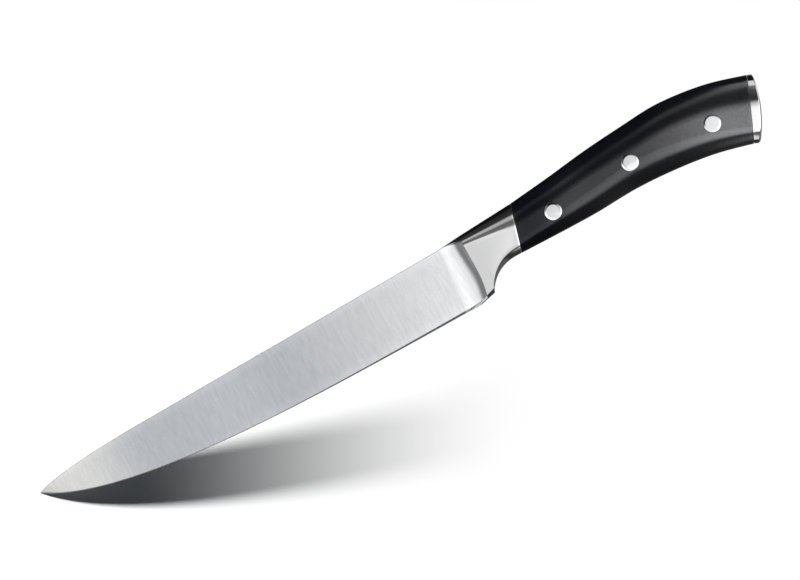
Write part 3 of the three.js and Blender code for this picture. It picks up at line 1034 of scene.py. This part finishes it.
def rivet_cutters(side):
    rivet = settings().rivet
    cutters = []
    for name, centre, radius in rivet_places():
        reach = grip_surface(centre.x, centre.z)
        seat, beyond = reach - rivet.head_thickness, reach + rivet.head_thickness
        shank, head = rivet.sleeve_diameter / 2 + rivet.fit_gap, radius + rivet.fit_gap
        profile = [(0, 0), (shank, 0), (shank, seat), (head, seat), (head, beyond), (0, beyond)]
        bm = turned_bar(centre, [(r, side * y) for r, y in profile])
        cutters.append(mesh_object(f"cutter_{name}", bm))
    return cutters


class KNIFE_OT_grip_scales(bpy.types.Operator):
    """Shape both grip scales, with stepped bores for the rivets"""

    bl_idname = "knife.grip_scales"
    bl_label = "Grip Scales"

    def execute(self, context):
        for side, word in ((LEFT, "left"), (RIGHT, "right")):
            bm = bmesh.new()
            rows = sweep(bm, scale_sections(), closed=True)
            close_up(bm)
            edges = row_edges(rows[0]) + row_edges(rows[-1])
            break_edges(bm, edges, settings().grip.edge_break)
            if side == RIGHT:
                bmesh.ops.scale(bm, vec=(1, -1, 1), verts=bm.verts)
                bmesh.ops.recalc_face_normals(bm, faces=bm.faces)
            piece = mesh_object(f"{word}_grip_scale", bm)
            bore(piece, rivet_cutters(side))
            dress(piece, "grip_plastic", [f"{word}_scale"], finish_named(black_plastic))
        return {"FINISHED"}


# Rivets

def head_profile(radius, depth, rim):
    """Outer face and rim of a head, from its centre, as radius and depth below the grip's surface."""
    flat = [(radius * ring, 0) for ring in HEAD_RINGS]
    round_rim = [
        (radius - rim * (1 - math.sin(turn)), rim * (1 - math.cos(turn))) for turn in RIM_TURNS
    ]
    return flat + round_rim + [(radius, depth)]


class KNIFE_OT_rivets(bpy.types.Operator):
    """Turn the three rivets: a stud with its head on the left, in a sleeve with its head on the right"""

    bl_idname = "knife.rivets"
    bl_label = "Rivets"

    def execute(self, context):
        for name, centre, radius in rivet_places():
            self.turn_rivet(name, centre, radius)
        return {"FINISHED"}

    def turn_rivet(self, name, centre, radius):
        rivet = settings().rivet
        reach = grip_surface(centre.x, centre.z)
        seat = reach - rivet.head_thickness
        head = head_profile(radius, rivet.head_thickness - rivet.fit_gap, rivet.rim_break)
        pin, sleeve = rivet.pin_diameter / 2, rivet.sleeve_diameter / 2
        bore_end = seat - rivet.bore_floor
        stud = [(r, depth - reach) for r, depth in head]
        stud += [(pin, stud[-1][1]), (pin, bore_end - rivet.pin_shy), (0, bore_end - rivet.pin_shy)]
        cup = [(r, reach - depth) for r, depth in head]
        hollow, mouth = pin + rivet.fit_gap, rivet.sleeve_shy - seat
        cup += [(sleeve, cup[-1][1]), (sleeve, mouth), (hollow, mouth), (hollow, bore_end), (0, bore_end)]
        for word, profile, side in (("stud", stud, LEFT), ("sleeve", cup, RIGHT)):
            bm = turned_bar(centre, profile)
            # The head's outer face follows the grip's surface
            for vert in bm.verts:
                if vert.co.y * side > seat + 2 * rivet.fit_gap:
                    sunk = reach - vert.co.y * side
                    vert.co.y = side * (grip_surface(vert.co.x, vert.co.z) - sunk)
            piece = mesh_object(f"{name}_rivet_{word}", bm)
            dress(piece, "polished_steel", [f"rivet_{name}_{word}"], finish_named(buffed_steel))


# Butt cap

def cap_sections():
    """The slot for the tenon, the seam with the grip, the rounded rim and the domed end."""
    bolster, grip, rivet = settings().bolster, settings().grip, settings().rivet
    middle, half_height, up, back = grip_end()
    reach = up * (bolster.tenon_height / 2 + rivet.fit_gap)
    slot_half = bolster.tenon_thickness / 2 + rivet.fit_gap
    slot_end = back * (bolster.tenon_length + rivet.fit_gap)
    seam = left_section(grip_under(1), grip_top(1), grip_shape(1, bolster.tang_thickness / 2))
    sections = [
        plate_section(middle - reach + slot_end, middle + reach + slot_end, slot_half),
        plate_section(middle - reach, middle + reach, slot_half),
        seam,
    ]
    hub = in_frame(middle)
    upwards, outwards = Vector((up.x, 0, up.y)), Vector((back.x, 0, back.y))

    def at_end(point, sunk):
        rise = (point - hub).dot(upwards) / half_height
        return point + outwards * (grip.cap_wall + grip.cap_crown * (1 - rise**2) - sunk)

    for i in range(EDGE_STEPS + 1):
        turn = i / EDGE_STEPS * math.pi / 2
        inset, sunk = grip.cap_edge * (1 - math.cos(turn)), grip.cap_edge * (1 - math.sin(turn))
        rim = [point + (hub - point).normalized() * inset for point in seam]
        sections.append([at_end(point, sunk) for point in rim])
    for i in range(1, DOME_STEPS + 1):
        sections.append([at_end(point.lerp(hub, i / DOME_STEPS), 0) for point in rim])
    return sections


class KNIFE_OT_butt_cap(bpy.types.Operator):
    """Carry the grip's last section on into a domed steel cap, with a slot for the tenon"""

    bl_idname = "knife.butt_cap"
    bl_label = "Butt Cap"

    def execute(self, context):
        bm = bmesh.new()
        rows = sweep(bm, cap_sections())
        break_edges(bm, row_edges(rows[CAP_SEAM]), settings().grip.edge_break)
        mirror_to_right(bm)
        piece = mesh_object("steel_butt_cap", bm)
        dress(piece, "polished_steel", ["butt_cap"], finish_named(buffed_steel))
        return {"FINISHED"}


# Stage

def photo_axes():
    """Right, up and towards the viewer in the photograph, as directions in the frame."""
    right = Vector((math.cos(PHOTO_ROLL), 0, -math.sin(PHOTO_ROLL)))
    up = Vector((math.sin(PHOTO_ROLL), 0, math.cos(PHOTO_ROLL)))
    return right, up, Vector((0, -1, 0))


def leaning(shares):
    """The direction made of these shares of the photograph's axes."""
    return sum((axis * part for axis, part in zip(photo_axes(), shares)), Vector()).normalized()


def add_camera():
    right, up, viewer = photo_axes()
    camera = bpy.data.cameras.new("camera")
    camera.lens = CAMERA_LENS
    distance = camera.lens / camera.sensor_width * PHOTO_WIDTH * PHOTO_SCALE
    holder = add_object("camera", camera)
    turn = Matrix((right, up, viewer)).transposed().to_4x4()
    holder.matrix_world = Matrix.Translation(PHOTO_CENTRE + viewer * distance) @ turn
    bpy.context.scene.camera = holder


def white_floor():
    """White paint that fades to a plain white backdrop on the right, and is clear from behind."""
    material, n = new_material("white_floor")
    place = n.place()
    across = n.along(place, "X") * math.cos(PHOTO_ROLL) - n.along(place, "Z") * math.sin(PHOTO_ROLL)
    seen = n.add("ShaderNodeLightPath", output="Is Camera Ray")
    paint = n.add("ShaderNodeBsdfDiffuse", None, {"Color": FLOOR_PAINT})
    backdrop = n.add("ShaderNodeEmission", None, {"Color": n.blend(seen, BLACK, WHITE)})
    white = n.add("ShaderNodeMixShader", None, {0: n.rise(across, *FLOOR_FADE), 1: paint, 2: backdrop})
    clear = n.add("ShaderNodeBsdfTransparent")
    behind = n.add("ShaderNodeNewGeometry", output="Backfacing")
    both = n.add("ShaderNodeMixShader", None, {0: behind, 1: white, 2: clear})
    n.add("ShaderNodeOutputMaterial", None, {"Surface": both})
    return material


def add_floor():
    """A plain floor that the tip stands on."""
    normal = leaning(FLOOR_LEAN)
    tip = in_frame(Vector((-settings().blade.length, settings().blade.tip_height)))
    turn = normal.to_track_quat("Z", "Y").to_matrix().to_4x4()
    bm = bmesh.new()
    bmesh.ops.create_grid(bm, x_segments=1, y_segments=1, size=FLOOR_SIZE)
    bmesh.ops.transform(bm, matrix=Matrix.Translation(tip - normal * FLOOR_DROP) @ turn, verts=bm.verts)
    floor = mesh_object("floor", bm)
    floor.data.materials.append(white_floor())
    floor.visible_glossy = False


def front_lights(n, x, tilt, foot, over_grip, rear):
    """A large panel in front of the knife, a strip above it, the dim gap between them and what is below."""
    facing = n.window(x, -0.6, 0.75, 0.05)
    shade = over_grip * (0.4 - n.rise(tilt, -22, 8) * 0.5) * n.levels(x, *PANEL_SHADE)
    sunk = over_grip * 2.3 - n.window(x, 0.145, 0.215, 0.03) * 1.5
    head = 1 - n.rise(tilt, 3.5 - sunk - rear * 5, 6.5 - sunk + rear * 9)
    panel = foot * head * facing * n.levels(x, *PANEL_LEVEL) * (1 + shade)
    lean = n.levels(x, *STRIP_TILT)
    strip = n.window(tilt - lean, -9, 9 + n.rise(x, 0.47, 0.52) * 9, 3) * facing * n.levels(x, *STRIP_LEVEL)
    gap = n.window(tilt, 5, lean, 1.5) * facing * n.levels(x, *GAP_LEVEL)
    over_blade = n.window(tilt, 36, 100, 4) * (1 - n.rise(x, -0.05, 0.02)) * 0.06
    below = n.window(tilt, -172, -28, 1.5) * n.levels(x, *BELOW_LEVEL)
    return n.most(panel, below, strip, gap + over_blade)


def side_lights(n, x, z, tilt, turn, foot):
    """A bright panel to the left, which the bolster's front sees, and dim ones further round both ends."""
    left = n.rise(turn, 1.5, 5) * (1 - n.rise(turn, 42, 60)) * foot * (1 - n.rise(tilt, 6, 9))
    left = left * n.levels(tilt, 1.42, (-5, 3, 0.4)) * n.levels(turn, 1, (15, 28, -0.16))
    level = n.window(z, -0.5, 0.5, 0.1)
    far_left = n.window(turn, 55, 142, 6) * level * n.levels(turn, 0.24, (75, 105, 0.1))
    right_level = n.levels(z, 0.2, (-0.18, -0.02, 0.5), (0.42, 0.58, -0.7))
    far_right = n.window(turn, -160, -42, 8) * n.rise(x, 0.4, 0.52) * right_level
    return n.most(left, far_left, far_right)


def fill_lights(n, x, tilt):
    """A panel behind the knife and one low on the left, for views from behind and above."""
    behind = n.rise(abs(tilt) + n.rise(x, 0.5, 0.58) * 17, 164, 172) * n.rise(x, -0.45, -0.35) * 1.05
    low_left = n.window(tilt, -110, -48, 6) * (1 - n.rise(x, -0.14, -0.02)) * 0.8
    return n.most(behind, low_left)


def tent_cloth():
    """Soft lights and dark flags, by place on the tent."""
    material, n = new_material("light_tent")
    place = n.place()
    x, y, z = (n.along(place, axis) / TENT_RADIUS for axis in "XYZ")
    tilt = n.maths("DEGREES", n.maths("ARCTAN2", z, 0 - y))
    turn = n.maths("DEGREES", n.maths("ARCTAN2", 0 - x, 0 - y))
    over_grip, rear = n.rise(x, 0.03, 0.1), n.rise(x, 0.12, 0.24)
    foot = n.rise(tilt, -30 - over_grip * 6 - rear * 3, -26 + over_grip * 8 + rear * 11)
    ahead = 1 - n.rise(turn, 44, 62)
    light = n.most(
        front_lights(n, x, tilt, foot, over_grip, rear) * ahead,
        side_lights(n, x, z, tilt, turn, foot),
        fill_lights(n, x, tilt),
    )
    grey = n.add(
        "ShaderNodeVectorMath", {"operation": "SCALE"}, {0: WHITE[:3], "Scale": light + LEAST_LIGHT},
    )
    glow = n.add("ShaderNodeEmission", None, {"Color": grey})
    n.add("ShaderNodeOutputMaterial", None, {"Surface": glow})
    return material


def add_tent():
    """A round tent, which only reflections see."""
    bm = bmesh.new()
    bmesh.ops.create_uvsphere(bm, u_segments=64, v_segments=32, radius=TENT_RADIUS)
    tent = mesh_object("light_tent", bm)
    tent.data.materials.append(tent_cloth())
    tent.visible_camera = False
    tent.visible_diffuse = False
    tent.visible_transmission = False
    tent.visible_shadow = False


def add_lamp():
    """A wide soft lamp overhead, for the floor and its shadow."""
    lamp = bpy.data.lights.new("soft_lamp", "SUN")
    lamp.energy = LAMP_STRENGTH
    lamp.angle = LAMP_SPREAD
    holder = add_object("soft_lamp", lamp)
    holder.matrix_world = (-leaning(LAMP_LEAN)).to_track_quat("-Z", "Y").to_matrix().to_4x4()
    holder.visible_glossy = False


def add_world():
    """A world that looks white and lights only a little."""
    world = bpy.data.worlds.new("white_studio")
    bpy.context.scene.world = world
    n = Nodes(world)
    backdrop = n.most(*(
        n.add("ShaderNodeLightPath", output=f"Is {ray} Ray") for ray in ("Camera", "Glossy", "Transmission")
    ))
    sky = n.add("ShaderNodeBackground", None, {"Color": n.blend(backdrop, SKY_FILL, WHITE)})
    n.add("ShaderNodeOutputWorld", None, {"Surface": sky})


class KNIFE_OT_studio(bpy.types.Operator):
    """Set up the white floor, the soft lights and the camera"""

    bl_idname = "knife.studio"
    bl_label = "Studio"

    def execute(self, context):
        context.scene.view_settings.view_transform = "Standard"
        add_camera()
        add_floor()
        add_tent()
        add_lamp()
        add_world()
        return {"FINISHED"}


class KNIFE_PT_workshop(bpy.types.Panel):
    """Lists the pieces of the knife and its studio"""

    bl_idname = "KNIFE_PT_workshop"
    bl_label = "Kitchen Knife"
    bl_space_type = "VIEW_3D"
    bl_region_type = "UI"
    bl_category = "Knife"

    def draw(self, context):
        for operator in OPERATORS:
            self.layout.operator(operator.bl_idname)


OPERATORS = (
    KNIFE_OT_forged_blade, KNIFE_OT_grip_scales, KNIFE_OT_rivets, KNIFE_OT_butt_cap, KNIFE_OT_studio,
)
CLASSES = (
    BladeSizes, BolsterSizes, GripSizes, RivetSizes, KnifeFinishes, KnifeSettings, *OPERATORS,
    KNIFE_PT_workshop,
)


def register():
    for cls in CLASSES:
        bpy.utils.register_class(cls)
    bpy.types.Scene.kitchen_knife = PointerProperty(type=KnifeSettings)


def unregister():
    del bpy.types.Scene.kitchen_knife
    for cls in reversed(CLASSES):
        bpy.utils.unregister_class(cls)


def main():
    register()
    bpy.ops.knife.forged_blade()
    bpy.ops.knife.grip_scales()
    bpy.ops.knife.rivets()
    bpy.ops.knife.butt_cap()
    bpy.ops.knife.studio()


if __name__ == "__main__":
    main()
